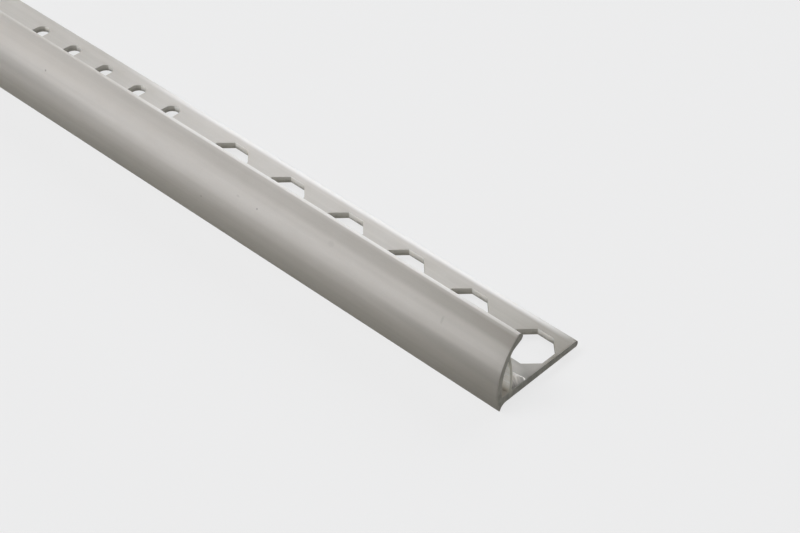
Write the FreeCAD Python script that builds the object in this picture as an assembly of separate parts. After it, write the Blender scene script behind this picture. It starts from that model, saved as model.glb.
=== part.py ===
import FreeCAD, Part
import math
import os

# Round-edge tile trim: one extruded strip with a perforated fixing leg.
# X runs along the strip, +X towards the end that carries the first hole.
# Y runs across it, the curved face towards -Y and the leg tip towards +Y.
# Z is up. The toe's lowest line is at Z = 0, and X and Y are centred.
# All sizes are millimetres.

# Strip
LENGTH = 1830.0
WIDTH = 19.3
FACE_TOP_ABOVE_BED = 12.68
TOE_DROP = 1.1

# Curved face: one arc above its outermost line, a flatter one below it
FACE_RADIUS = 11.6
FACE_LOWER_RADIUS = 17.0
FACE_CENTRE_ABOVE_BED = 3.3
FACE_WALL = 0.95

# Lip: a bead that thickens the face's inner side towards its edge
LIP_THICKNESS = 1.2
LIP_OUTER_RADIUS = 0.45
LIP_INNER_RADIUS = 0.3
BEAD_ACROSS = 5.2
BEAD_ABOVE_BED = 11.05
BEAD_RADIUS = 0.4
BEAD_RUN_OUT_ABOVE_BED = 10.05
BEAD_RUN_OUT_RADIUS = 1.2

# Toe: a hollow sweep from the bed down to a narrow line
TOE_SWEEP_RADIUS = 1.4
TOE_SWEEP_CENTRE_Y = 2.1

# Web between the leg and the curved face, bowed towards the tile
WEB_TILE_SIDE_RADIUS = 17.0
WEB_TILE_SIDE_REACH = 3.4
WEB_BOW_CENTRE_ABOVE_BED = 4.0
WEB_THICKNESS = 0.55
WEB_TOP_BLEND = 0.8
WEB_FOOT_BLEND = 0.35
CELL_TOP_BLEND = 0.08
CELL_FOOT_BLEND = 0.15

# Leg
LEG_ROOT_THICKNESS = 1.5
LEG_TIP_THICKNESS = 1.22
LEG_TIP_EDGE_RADIUS = 0.45

# Octagonal keying holes
HOLE_SIDES = 8
HOLE_PITCH = 14.0
HOLE_ACROSS_FLATS = 8.0
HOLE_LINE_Y = 12.9
FIRST_HOLE_FROM_END = 4.6
HOLES_BEFORE_FIRST_BAY = 6
HOLES_PER_GROUP = 12

# Bays of round-ended cross slots between the groups of holes
BAY_PITCHES = 4
SLOTS_PER_BAY = 5
SLOT_SPACING = 9.1
SLOT_WIDTH = 3.0
SLOT_LENGTH = 8.0

# Punches start below the bed and end above the leg
PUNCH_CLEARANCE = 2.0
SAME_PLACE = 0.001


def section_point(across, above_bed):
    """Place a section point given from the face's outermost line and from the bed."""
    return FreeCAD.Vector(-LENGTH / 2, across - WIDTH / 2, above_bed + TOE_DROP)


def on_circle(centre, radius, degrees):
    """Point of a section circle at an angle from the leg's direction."""
    angle = math.radians(degrees)
    across = centre[0] + radius * math.cos(angle)
    above_bed = centre[1] + radius * math.sin(angle)
    return (across, above_bed)


def angle_of(centre, point):
    """Angle of a section point around a centre, from 0 to 360 degrees."""
    angle = math.atan2(point[1] - centre[1], point[0] - centre[0])
    return math.degrees(angle) % 360.0


def left_of_circle(centre, radius, above_bed):
    """The face-side point of a circle at a height over the bed."""
    half_chord = math.sqrt(radius ** 2 - (above_bed - centre[1]) ** 2)
    return (centre[0] - half_chord, above_bed)


def circles_meet(centre_a, radius_a, centre_b, radius_b):
    """The upper crossing of two section circles."""
    gap_y = centre_b[0] - centre_a[0]
    gap_z = centre_b[1] - centre_a[1]
    gap = math.hypot(gap_y, gap_z)
    along = (radius_a ** 2 - radius_b ** 2 + gap ** 2) / (2 * gap)
    aside = math.sqrt(radius_a ** 2 - along ** 2)
    foot = (centre_a[0] + along * gap_y / gap, centre_a[1] + along * gap_z / gap)
    first = (foot[0] - aside * gap_z / gap, foot[1] + aside * gap_y / gap)
    second = (foot[0] + aside * gap_z / gap, foot[1] - aside * gap_y / gap)
    return max(first, second, key=lambda point: point[1])


def line_meets_circle(start, end, centre, radius, face_side):
    """Crossing of the leg's top line with a circle, on its face side or leg side."""
    step_y = end[0] - start[0]
    step_z = end[1] - start[1]
    reach = math.hypot(step_y, step_z)
    unit = (step_y / reach, step_z / reach)
    offset = (start[0] - centre[0], start[1] - centre[1])
    middle = -(offset[0] * unit[0] + offset[1] * unit[1])
    apart = offset[0] * unit[1] - offset[1] * unit[0]
    half_chord = math.sqrt(radius ** 2 - apart ** 2)
    along = middle - half_chord if face_side else middle + half_chord
    return (start[0] + along * unit[0], start[1] + along * unit[1])


def straight(start, end):
    """Straight side of the section."""
    return Part.makeLine(section_point(*start), section_point(*end))


def arc(centre, radius, start, end):
    """The shorter arc from one section point to another."""
    first = angle_of(centre, start)
    turn = (angle_of(centre, end) - first + 180.0) % 360.0 - 180.0
    middle = on_circle(centre, radius, first + turn / 2)
    return Part.Arc(section_point(*start), section_point(*middle), section_point(*end)).toShape()


def find_corners():
    """Named corners of the section, before any edge is rounded."""
    face_centre = (FACE_RADIUS, FACE_CENTRE_ABOVE_BED)
    lower_centre = (FACE_LOWER_RADIUS, FACE_CENTRE_ABOVE_BED)
    inner_radius = FACE_RADIUS - FACE_WALL
    web_centre = (WEB_TILE_SIDE_REACH - WEB_TILE_SIDE_RADIUS, WEB_BOW_CENTRE_ABOVE_BED)
    web_cell_radius = WEB_TILE_SIDE_RADIUS - WEB_THICKNESS
    sweep_centre = (TOE_SWEEP_CENTRE_Y, -TOE_SWEEP_RADIUS)
    leg_root = (WEB_TILE_SIDE_REACH, LEG_ROOT_THICKNESS)
    leg_tip_top = (WIDTH, LEG_TIP_THICKNESS)

    lip_outer = left_of_circle(face_centre, FACE_RADIUS, FACE_TOP_ABOVE_BED)
    lip_angle = angle_of(face_centre, lip_outer)
    corners = {
        "toe_outer": left_of_circle(lower_centre, FACE_LOWER_RADIUS, -TOE_DROP),
        "face_outermost": (0.0, FACE_CENTRE_ABOVE_BED),
        "toe_inner": left_of_circle(sweep_centre, TOE_SWEEP_RADIUS, -TOE_DROP),
        "lip_outer": lip_outer,
        "lip_inner": on_circle(face_centre, FACE_RADIUS - LIP_THICKNESS, lip_angle),
        "bead": (BEAD_ACROSS, BEAD_ABOVE_BED),
        "bead_run_out": left_of_circle(face_centre, inner_radius, BEAD_RUN_OUT_ABOVE_BED),
        "web_top": circles_meet(face_centre, inner_radius, web_centre, WEB_TILE_SIDE_RADIUS),
        "web_foot": line_meets_circle(leg_root, leg_tip_top, web_centre, WEB_TILE_SIDE_RADIUS, False),
        "leg_tip_top": leg_tip_top,
        "leg_tip_bed": (WIDTH, 0.0),
        "sweep_start": (TOE_SWEEP_CENTRE_Y, 0.0),
        "cell_top": circles_meet(face_centre, inner_radius, web_centre, web_cell_radius),
        "cell_web_foot": line_meets_circle(leg_root, leg_tip_top, web_centre, web_cell_radius, False),
        "cell_face_foot": line_meets_circle(leg_root, leg_tip_top, face_centre, inner_radius, True),
    }
    circles = {
        "face": (face_centre, FACE_RADIUS),
        "face_lower": (lower_centre, FACE_LOWER_RADIUS),
        "face_inner": (face_centre, inner_radius),
        "web": (web_centre, WEB_TILE_SIDE_RADIUS),
        "web_cell": (web_centre, web_cell_radius),
        "sweep": (sweep_centre, TOE_SWEEP_RADIUS),
    }
    return corners, circles


def draw_section(corners, circles):
    """The strip's sharp-cornered section, with the closed cell behind the face."""
    outline = Part.Wire([
        arc(*circles["face_lower"], corners["toe_outer"], corners["face_outermost"]),
        arc(*circles["face"], corners["face_outermost"], corners["lip_outer"]),
        straight(corners["lip_outer"], corners["lip_inner"]),
        straight(corners["lip_inner"], corners["bead"]),
        straight(corners["bead"], corners["bead_run_out"]),
        arc(*circles["face_inner"], corners["bead_run_out"], corners["web_top"]),
        arc(*circles["web"], corners["web_top"], corners["web_foot"]),
        straight(corners["web_foot"], corners["leg_tip_top"]),
        straight(corners["leg_tip_top"], corners["leg_tip_bed"]),
        straight(corners["leg_tip_bed"], corners["sweep_start"]),
        arc(*circles["sweep"], corners["sweep_start"], corners["toe_inner"]),
        straight(corners["toe_inner"], corners["toe_outer"]),
    ])
    cell = Part.Wire([
        arc(*circles["face_inner"], corners["cell_top"], corners["cell_face_foot"]),
        straight(corners["cell_face_foot"], corners["cell_web_foot"]),
        arc(*circles["web_cell"], corners["cell_web_foot"], corners["cell_top"]),
    ])
    return Part.Face(outline).cut(Part.Face(cell)).Faces[0]


def long_edges(solid, corners, names):
    """The strip's lengthwise edges that run through the named section corners."""
    found = []
    for name in names:
        corner = section_point(*corners[name])
        for edge in solid.Edges:
            middle = (edge.Vertexes[0].Point + edge.Vertexes[-1].Point) * 0.5
            off_corner = math.hypot(middle.y - corner.y, middle.z - corner.z)
            if off_corner < SAME_PLACE and edge.Length > WIDTH:
                found.append(edge)
    return found


def round_corners(solid, corners):
    """Round the lip, the leg tip and the web's blends along the strip."""
    roundings = [
        (LIP_OUTER_RADIUS, ["lip_outer"]),
        (LIP_INNER_RADIUS, ["lip_inner"]),
        (BEAD_RADIUS, ["bead"]),
        (BEAD_RUN_OUT_RADIUS, ["bead_run_out"]),
        (LEG_TIP_EDGE_RADIUS, ["leg_tip_top", "leg_tip_bed"]),
        (WEB_TOP_BLEND, ["web_top"]),
        (WEB_FOOT_BLEND, ["web_foot"]),
        (CELL_TOP_BLEND, ["cell_top"]),
        (CELL_FOOT_BLEND, ["cell_web_foot", "cell_face_foot"]),
    ]
    for radius, names in roundings:
        solid = solid.makeFillet(radius, long_edges(solid, corners, names))
    return solid


def punch(outline, x):
    """Move a flat outline at X = 0 to its place and extend it through the leg."""
    depth = 2 * PUNCH_CLEARANCE + LEG_ROOT_THICKNESS
    blank = Part.Face(outline).extrude(FreeCAD.Vector(0, 0, depth))
    blank.translate(FreeCAD.Vector(x, HOLE_LINE_Y - WIDTH / 2, TOE_DROP - PUNCH_CLEARANCE))
    return blank


def hole_outline():
    """Regular outline with one flat facing the leg's tip, centred on the origin."""
    half_side_angle = math.pi / HOLE_SIDES
    corner_radius = HOLE_ACROSS_FLATS / 2 / math.cos(half_side_angle)
    points = []
    for index in range(HOLE_SIDES + 1):
        angle = math.pi / 2 + half_side_angle + index * 2 * half_side_angle
        x = corner_radius * math.cos(angle)
        y = corner_radius * math.sin(angle)
        points.append(FreeCAD.Vector(x, y, 0))
    return Part.makePolygon(points)


def slot_outline():
    """Round-ended outline across the strip, centred on the origin."""
    half_width = SLOT_WIDTH / 2
    half_straight = (SLOT_LENGTH - SLOT_WIDTH) / 2
    far_left = FreeCAD.Vector(-half_width, half_straight, 0)
    far_end = FreeCAD.Vector(0, half_straight + half_width, 0)
    far_right = FreeCAD.Vector(half_width, half_straight, 0)
    near_right = FreeCAD.Vector(half_width, -half_straight, 0)
    near_end = FreeCAD.Vector(0, -half_straight - half_width, 0)
    near_left = FreeCAD.Vector(-half_width, -half_straight, 0)
    return Part.Wire([
        Part.Arc(far_left, far_end, far_right).toShape(),
        Part.makeLine(far_right, near_right),
        Part.Arc(near_right, near_end, near_left).toShape(),
        Part.makeLine(near_left, far_left),
    ])


def punched_places():
    """X positions of all holes and all slots, counted from the first hole."""
    first_x = LENGTH / 2 - FIRST_HOLE_FROM_END
    steps = int((LENGTH - 2 * FIRST_HOLE_FROM_END) / HOLE_PITCH)
    group = HOLES_PER_GROUP + BAY_PITCHES
    hole_xs = []
    slot_xs = []
    for step in range(steps + 1):
        place = (step + HOLES_PER_GROUP - HOLES_BEFORE_FIRST_BAY) % group
        x = first_x - step * HOLE_PITCH
        if place < HOLES_PER_GROUP:
            hole_xs.append(x)
        elif place == HOLES_PER_GROUP and step + BAY_PITCHES <= steps:
            bay_middle = x - (BAY_PITCHES - 1) * HOLE_PITCH / 2
            bay_start = bay_middle + (SLOTS_PER_BAY - 1) * SLOT_SPACING / 2
            slot_xs.extend(bay_start - index * SLOT_SPACING for index in range(SLOTS_PER_BAY))
    return hole_xs, slot_xs


corners, circles = find_corners()
strip = draw_section(corners, circles).extrude(FreeCAD.Vector(LENGTH, 0, 0))
strip = round_corners(strip, corners)
hole_xs, slot_xs = punched_places()
punches = [punch(hole_outline(), x) for x in hole_xs]
punches += [punch(slot_outline(), x) for x in slot_xs]
edge_trim = strip.cut(Part.makeCompound(punches)).Solids[0]

os.makedirs("parts", exist_ok=True)
edge_trim.exportStep("parts/edge_trim.step")
box = edge_trim.optimalBoundingBox()
print("holes", len(hole_xs), "slots", len(slot_xs), "last hole at x", round(hole_xs[-1], 2))
print("valid", edge_trim.isValid(), "volume mm3", round(edge_trim.Volume, 1))
print("x", round(box.XMin, 3), round(box.XMax, 3))
print("y", round(box.YMin, 3), round(box.YMax, 3))
print("z", round(box.ZMin, 3), round(box.ZMax, 3))
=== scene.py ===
"""Round-edge tile trim in PVC, dressed for a plain studio view.

The strip is modelled again here as one fine closed mesh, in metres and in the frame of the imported
solid that it stands for: X along the strip, Y from the curved face to the leg's tip, Z up.
"""
import logging
import math
from dataclasses import dataclass
from enum import Enum
from functools import cached_property

import bmesh
import bpy
from bmesh.types import BMEdge, BMesh, BMFace, BMVert
from bpy.types import Material, Mesh, Node, NodeTree, Object
from mathutils import Euler, Matrix, Vector, noise


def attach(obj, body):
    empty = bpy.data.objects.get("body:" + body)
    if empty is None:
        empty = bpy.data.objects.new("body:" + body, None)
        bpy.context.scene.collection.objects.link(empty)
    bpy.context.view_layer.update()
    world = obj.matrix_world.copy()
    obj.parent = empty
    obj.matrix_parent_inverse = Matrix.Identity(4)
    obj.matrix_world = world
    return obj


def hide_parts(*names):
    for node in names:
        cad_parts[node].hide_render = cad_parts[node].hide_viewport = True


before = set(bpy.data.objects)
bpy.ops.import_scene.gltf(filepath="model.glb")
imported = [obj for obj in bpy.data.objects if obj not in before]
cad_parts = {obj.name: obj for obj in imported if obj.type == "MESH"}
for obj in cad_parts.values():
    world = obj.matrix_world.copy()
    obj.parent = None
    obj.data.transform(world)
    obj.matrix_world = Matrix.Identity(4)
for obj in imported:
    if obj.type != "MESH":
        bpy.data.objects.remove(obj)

log = logging.getLogger("tile_trim")
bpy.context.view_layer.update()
TOUCHING = 1e-6
SHARP_TURN = math.radians(38.0)
STOCK_LENGTH = 1.83
END_X = STOCK_LENGTH / 2
SectionPoint = tuple[float, float]
Range = tuple[float, float]
Point = tuple[float, float, float]
Colour = tuple[float, float, float]
Socket = bpy.types.NodeSocket
Feed = Socket | float | tuple[float, ...]
Ports = bpy.types.NodeInputs | bpy.types.NodeOutputs
WHOLE: Range = (0.0, 1.0)
BLACK: Colour = (0.0, 0.0, 0.0)
# Colour of painted shade, laid towards the sawn ends, under the lip and on the leg.
PAINTED_SHADE: Colour = (0.1, 0.085, 0.045)
SCATTER_BY_COLOUR = (1.0, 0.97, 0.93)


class Punch(Enum):
    """What the punch leaves in the leg at one place."""

    HOLE = "octagonal keying hole"
    SLOT = "round-ended cross slot"


class Surface(Enum):
    """The finishes of the PVC; the strip's own come first, in the order of its material slots."""

    DRAWN = 0
    PUNCHED = 1
    SHADED_WALL = 2
    SAWN = 3
    CELL = 4
    TORN = 5


@dataclass(frozen=True)
class Circle:
    """A circle of the section.

    Attributes:
        across: distance of its centre from the face's outermost line.
        above_bed: height of its centre above the leg's bedding side.
        radius: its radius.
    """

    across: float
    above_bed: float
    radius: float

    def angle_of(self, point: SectionPoint) -> float:
        """Return the angle of a section point, in radians from 0 to a full turn."""
        return math.atan2(point[1] - self.above_bed, point[0] - self.across) % math.tau

    def at_angle(self, angle: float) -> SectionPoint:
        """Return the point of the circle at an angle."""
        return (self.across + self.radius * math.cos(angle), self.above_bed + self.radius * math.sin(angle))

    def face_side(self, above_bed: float) -> SectionPoint:
        """Return the circle's point on the face's side at a height above the bed."""
        half_chord = math.sqrt(self.radius ** 2 - (above_bed - self.above_bed) ** 2)
        return (self.across - half_chord, above_bed)

    def meets_above(self, other: "Circle") -> SectionPoint:
        """Return the upper crossing with another circle.

        Args:
            other: the second circle.

        Returns:
            The crossing that lies higher above the bed.
        """
        gap = Vector((other.across - self.across, other.above_bed - self.above_bed))
        along = (self.radius ** 2 - other.radius ** 2 + gap.length_squared) / (2 * gap.length)
        aside = math.sqrt(self.radius ** 2 - along ** 2)
        unit = gap.normalized()
        foot = Vector((self.across, self.above_bed)) + unit * along
        sides = [foot + Vector((-unit.y, unit.x)) * sign * aside for sign in (1, -1)]
        highest = max(sides, key=lambda point: point.y)
        return (highest.x, highest.y)


@dataclass(frozen=True)
class TrimSection:
    """The strip's section and how it is drawn into a mesh.

    Distances across run from the face's outermost line, and heights from the leg's bedding side.

    Attributes:
        toe_drop: how far the toe reaches below the bedding side.
        bead: the corner where the lip's bead is thickest.
        run_out_above_bed: height at which the bead has run out into the face's wall.
        face_centre: height of the face's outermost line, where face_radius gives way to lower_radius.
        sweep_across: where the toe's hollow sweep meets the bedding side.
        web_reach: how far across the web's tile side bows, at the height of web_centre.
        punched_half: half the width of the leg's stretch that the punch may cut.
        arc_step: length of one side of an arc, which has arc_fewest sides or more.
        cell_margin: how near a face lies to the cell's walls to count as one of them.
    """

    width: float = 0.0193
    toe_drop: float = 0.0011
    face_top: float = 0.012675
    wall: float = 0.00095
    lip_thickness: float = 0.0012
    bead: SectionPoint = (0.0052, 0.01105)
    run_out_above_bed: float = 0.01005
    face_centre: float = 0.0033
    face_radius: float = 0.0116
    lower_radius: float = 0.017
    sweep_across: float = 0.0021
    sweep_radius: float = 0.0014
    web_reach: float = 0.0034
    web_radius: float = 0.017
    web_centre: float = 0.004
    web_thickness: float = 0.00055
    leg_root: float = 0.0015
    leg_tip: float = 0.00122
    hole_line: float = 0.0129
    punched_half: float = 0.0047
    lip_outer_round: float = 0.00045
    lip_inner_round: float = 0.0003
    bead_round: float = 0.0004
    run_out_round: float = 0.0012
    tip_round: float = 0.00045
    web_top_round: float = 0.0008
    web_foot_round: float = 0.00035
    cell_top_round: float = 0.00008
    cell_foot_round: float = 0.00015
    corner_sides: int = 5
    arc_step: float = 0.0005
    arc_fewest: int = 4
    cell_margin: float = 0.0001

    @property
    def face(self) -> Circle:
        """Return the outer circle of the face above its outermost line."""
        return Circle(self.face_radius, self.face_centre, self.face_radius)

    @property
    def inner(self) -> Circle:
        """Return the circle of the face's inner side."""
        return Circle(self.face_radius, self.face_centre, self.face_radius - self.wall)

    @property
    def web(self) -> Circle:
        """Return the circle of the web's tile side."""
        return Circle(self.web_reach - self.web_radius, self.web_centre, self.web_radius)

    @property
    def web_cell(self) -> Circle:
        """Return the circle of the web's side towards the cell."""
        return Circle(self.web.across, self.web_centre, self.web_radius - self.web_thickness)

    def leg_top(self, across: float) -> float:
        """Return the height of the leg's tile side above the bed."""
        slope = (self.leg_root - self.leg_tip) / (self.width - self.web_reach)
        return self.leg_root - slope * (across - self.web_reach)

    def on_leg_top(self, circle: Circle, face_side: bool) -> SectionPoint:
        """Return where a circle crosses the leg's tile side, closing in on it step by step.

        Args:
            circle: the circle of a wall that stands on the leg.
            face_side: whether the crossing nearer to the face is wanted.

        Returns:
            The crossing as a section point.
        """
        across = self.web_reach
        steps = 8
        for _ in range(steps):
            half_chord = math.sqrt(circle.radius ** 2 - (self.leg_top(across) - circle.above_bed) ** 2)
            across = circle.across + (-half_chord if face_side else half_chord)
        return (across, self.leg_top(across))

    def is_in_cell(self, point: Vector) -> bool:
        """Tell whether a point lies in the cell or on its walls.

        Args:
            point: the point, in the strip's frame.

        Returns:
            True inside both circles and above the leg, within the cell's margin.
        """
        flat = point - self.place((0.0, 0.0))
        inside = [math.hypot(flat.y - wall.across, flat.z - wall.above_bed) < wall.radius + self.cell_margin
                  for wall in (self.inner, self.web_cell)]
        return all(inside) and flat.z > self.leg_top(flat.y) - self.cell_margin

    def place(self, point: SectionPoint) -> Vector:
        """Return a section point in the strip's frame, on the plane X = 0."""
        return Vector((0.0, point[0] - self.width / 2, point[1] + self.toe_drop))

    def draw(self, bm: BMesh) -> None:
        """Draw the section's two closed outlines on the plane X = 0.

        Args:
            bm: the empty mesh that takes them.
        """
        lower = Circle(self.lower_radius, self.face_centre, self.lower_radius)
        sweep = Circle(self.sweep_across, -self.sweep_radius, self.sweep_radius)
        lip = self.face.face_side(self.face_top)
        lip_line = Circle(self.face_radius, self.face_centre, self.face_radius - self.lip_thickness)
        lip_inner = lip_line.at_angle(self.face.angle_of(lip))
        run_out = self.inner.face_side(self.run_out_above_bed)
        web_top = self.inner.meets_above(self.web)
        web_foot = self.on_leg_top(self.web, False)
        near, line, far = (self.hole_line + side * self.punched_half for side in (-1, 0, 1))

        pen = SectionPen.start(bm, self, lower.face_side(-self.toe_drop))
        pen.turn(lower, (0.0, self.face_centre))
        pen.turn(self.face, lip)
        for corner in (lip_inner, self.bead, run_out):
            pen.run(corner)
        pen.turn(self.inner, web_top)
        pen.turn(self.web, web_foot)
        for across in (near, line, far, self.width):
            pen.run((across, self.leg_top(across)))
        for across in (self.width, far, line, near, self.sweep_across):
            pen.run((across, 0.0))
        pen.turn(sweep, sweep.face_side(-self.toe_drop))
        pen.close()

        cell_top = self.inner.meets_above(self.web_cell)
        face_foot = self.on_leg_top(self.inner, True)
        cell_foot = self.on_leg_top(self.web_cell, False)
        pen = SectionPen.start(bm, self, cell_top)
        pen.turn(self.inner, face_foot)
        pen.run(cell_foot)
        pen.turn(self.web_cell, cell_top)
        pen.close()

        for corner, radius in (
                (lip, self.lip_outer_round), (lip_inner, self.lip_inner_round), (self.bead, self.bead_round),
                (run_out, self.run_out_round), ((self.width, self.leg_tip), self.tip_round),
                ((self.width, 0.0), self.tip_round), (web_top, self.web_top_round),
                (web_foot, self.web_foot_round), (cell_top, self.cell_top_round),
                (face_foot, self.cell_foot_round), (cell_foot, self.cell_foot_round)):
            self.round_corner(bm, corner, radius)

    def round_corner(self, bm: BMesh, point: SectionPoint, radius: float) -> None:
        """Round one corner of the drawn outline.

        Args:
            bm: the mesh that holds the outline.
            point: the corner, as a section point.
            radius: the rounding's radius.
        """
        corner = nearest_vertex(bm, self.place(point))
        sides = [edge.other_vert(corner).co - corner.co for edge in corner.link_edges]
        reach = radius / math.tan(sides[0].angle(sides[1]) / 2)
        bmesh.ops.bevel(bm, geom=[corner], offset=reach, offset_type="OFFSET", segments=self.corner_sides,
                        profile=0.5, affect="VERTICES", clamp_overlap=True, material=-1)


@dataclass
class SectionPen:
    """Draws a chain of edges: each new stretch grows from the last vertex."""

    bm: BMesh
    section: TrimSection
    first: BMVert
    last: BMVert

    @classmethod
    def start(cls, bm: BMesh, section: TrimSection, point: SectionPoint) -> "SectionPen":
        """Return a pen at a section point."""
        vertex = bmesh.ops.create_vert(bm, co=section.place(point))["vert"][0]
        return cls(bm, section, vertex, vertex)

    def run(self, point: SectionPoint) -> None:
        """Draw a straight side.

        Args:
            point: the section point at its end.
        """
        vertex = bmesh.ops.extrude_vert_indiv(self.bm, verts=[self.last])["verts"][0]
        bmesh.ops.translate(self.bm, verts=[vertex], vec=self.section.place(point) - vertex.co)
        self.last = vertex

    def turn(self, circle: Circle, point: SectionPoint) -> None:
        """Draw the shorter arc of a circle from the last vertex.

        Args:
            circle: the circle that the arc lies on.
            point: the section point at its end.
        """
        here = self.last.co - self.section.place((0.0, 0.0))
        turn = (circle.angle_of(point) - circle.angle_of((here.y, here.z)) + math.pi) % math.tau - math.pi
        steps = max(self.section.arc_fewest, round(abs(turn) * circle.radius / self.section.arc_step))
        centre = self.section.place((circle.across, circle.above_bed))
        made = bmesh.ops.spin(self.bm, geom=[self.last], cent=centre, axis=(1.0, 0.0, 0.0), angle=turn,
                              steps=steps, use_merge=False, use_duplicate=False)
        self.last = next(item for item in made["geom_last"] if isinstance(item, BMVert))

    def close(self) -> None:
        """Join the chain's two ends, with a last side where they lie apart."""
        if (self.last.co - self.first.co).length < TOUCHING:
            bmesh.ops.weld_verts(self.bm, targetmap={self.last: self.first})
        else:
            bmesh.ops.contextual_create(self.bm, geom=[self.last, self.first])


def nearest_vertex(bm: BMesh, point: Vector) -> BMVert:
    """Return the mesh's vertex nearest to a point."""
    return min(bm.verts, key=lambda vertex: (vertex.co - point).length_squared)


@dataclass(frozen=True)
class Stretch:
    """A stretch of the strip around one punched place.

    Attributes:
        before: length from its +X end to the place.
        after: length from the place to its -X end.
        punch: what is punched there.
    """

    before: float
    after: float
    punch: Punch

    @classmethod
    def around(cls, x: float, high: float, low: float, punch: Punch) -> "Stretch":
        """Return the stretch around X that reaches from high to low, measured to a tenth of a micron."""
        return cls(round(high - x, 7), round(x - low, 7), punch)


@dataclass
class EdgeTrim:
    """The extruded strip with its punched leg.

    Attributes:
        first_from_end: distance of the first hole's middle from the +X end.
        before_first_bay: holes before the first bay of slots.
        holes_in_group: holes between two bays.
        bay_pitches: length of a bay, in hole pitches.
        slot_width: width of a slot, along the strip.
        slot_length: length of a slot, across the strip.
        slot_sides: sides of a slot's two round ends together.
        rim: how far the punch rounds over a hole's edges.
        rim_from: share of a normal along Z from which the skin is whole.
        lit_wall_from: share of a wall's normal along Y from which it keeps the punched finish; walls turned
            further away take its darker copy, which is painted shade.
    """

    section: TrimSection
    length: float = STOCK_LENGTH
    pitch: float = 0.014
    across_flats: float = 0.008
    hole_sides: int = 8
    first_from_end: float = 0.0046
    before_first_bay: int = 6
    holes_in_group: int = 12
    bay_pitches: int = 4
    slots_in_bay: int = 5
    slot_spacing: float = 0.0091
    slot_width: float = 0.003
    slot_length: float = 0.008
    slot_sides: int = 20
    rim: float = 0.00006
    rim_from: float = 0.5
    lit_wall_from: float = 0.9

    def places(self) -> list[tuple[float, Punch]]:
        """Work out every punched place, from the +X end on.

        Returns:
            The X of each place, with what is punched there.
        """
        first = self.length / 2 - self.first_from_end
        steps = int((self.length - 2 * self.first_from_end) / self.pitch)
        group = self.holes_in_group + self.bay_pitches
        found: list[tuple[float, Punch]] = []
        for step in range(steps + 1):
            turn = (step + self.holes_in_group - self.before_first_bay) % group
            x = first - step * self.pitch
            if turn < self.holes_in_group:
                found.append((x, Punch.HOLE))
            elif turn == self.holes_in_group and step + self.bay_pitches <= steps:
                middle = x - (self.bay_pitches - 1) * self.pitch / 2
                start = middle + (self.slots_in_bay - 1) * self.slot_spacing / 2
                for index in range(self.slots_in_bay):
                    found.append((start - index * self.slot_spacing, Punch.SLOT))
        return found

    def leg_side(self, top: bool) -> Vector:
        """Return the point of the hole line, at X = 0, on the leg's tile side or its bedding side."""
        line = self.section.hole_line
        return self.section.place((line, self.section.leg_top(line) if top else 0.0))

    def outline_punch(self, bm: BMesh, punch: Punch, top: bool) -> list[BMEdge]:
        """Draw the outline of a hole or slot on one side of the leg.

        Args:
            bm: the stretch's mesh.
            punch: which outline to draw.
            top: whether it goes on the tile side, or else on the bedding side.

        Returns:
            The edges of the closed outline.
        """
        lie = Matrix.Translation(self.leg_side(top))
        # The leg's tile side falls towards its tip, and the outline with it.
        lie[2][1] = self.section.leg_top(1.0) - self.section.leg_top(0.0) if top else 0.0
        count, span = ((self.hole_sides, self.across_flats) if punch is Punch.HOLE
                       else (self.slot_sides, self.slot_width))
        radius = span / 2 / math.cos(math.pi / count)
        ring = bmesh.ops.create_circle(bm, cap_ends=False, radius=radius, segments=count,
                                       matrix=Matrix.Rotation(math.pi / count, 4, "Z"))["verts"]
        if punch is Punch.SLOT:
            reach = (self.slot_length - self.slot_width) / 2
            for side in (1, -1):
                half = [vertex for vertex in ring if vertex.co.y * side > 0]
                bmesh.ops.translate(bm, verts=half, vec=(0.0, side * reach, 0.0))
        bmesh.ops.transform(bm, matrix=lie, verts=ring)
        return list({edge for vertex in ring for edge in vertex.link_edges})

    def open_side(self, bm: BMesh, punch: Punch, top: bool) -> list[BMEdge]:
        """Cut one side of the leg open around a place and fill up to the punched outline.

        Args:
            bm: the stretch's mesh, with the place at X = 0.
            punch: what is punched.
            top: whether the tile side is cut, or else the bedding side.

        Returns:
            The edges of the punched outline.
        """
        centre = nearest_vertex(bm, self.leg_side(top))
        border = [edge for face in centre.link_faces for edge in face.edges if centre not in edge.verts]
        bmesh.ops.delete(bm, geom=[centre], context="VERTS")
        outline = self.outline_punch(bm, punch, top)
        facing = (0.0, 0.0, 1.0 if top else -1.0)
        bmesh.ops.triangle_fill(bm, use_beauty=True, edges=border + outline, normal=facing)
        return outline

    def extrude_stretch(self, bm: BMesh, stretch: Stretch) -> None:
        """Extrude the section along a stretch, with a row of edges at X = 0, and mark the cell's walls.

        Args:
            bm: the empty mesh that takes it.
            stretch: its lengths.
        """
        self.section.draw(bm)
        bmesh.ops.translate(bm, verts=bm.verts[:], vec=(stretch.before, 0.0, 0.0))
        ring = bm.edges[:]
        for step in (stretch.before, stretch.after):
            grown = bmesh.ops.extrude_edge_only(bm, edges=ring)["geom"]
            new_verts = [item for item in grown if isinstance(item, BMVert)]
            bmesh.ops.translate(bm, verts=new_verts, vec=(-step, 0.0, 0.0))
            ring = [item for item in grown if isinstance(item, BMEdge)
                    and abs(item.verts[0].co.x - item.verts[1].co.x) < TOUCHING]
        for face in bm.faces:
            if self.section.is_in_cell(face.calc_center_median()):
                face.material_index = Surface.CELL.value

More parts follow.
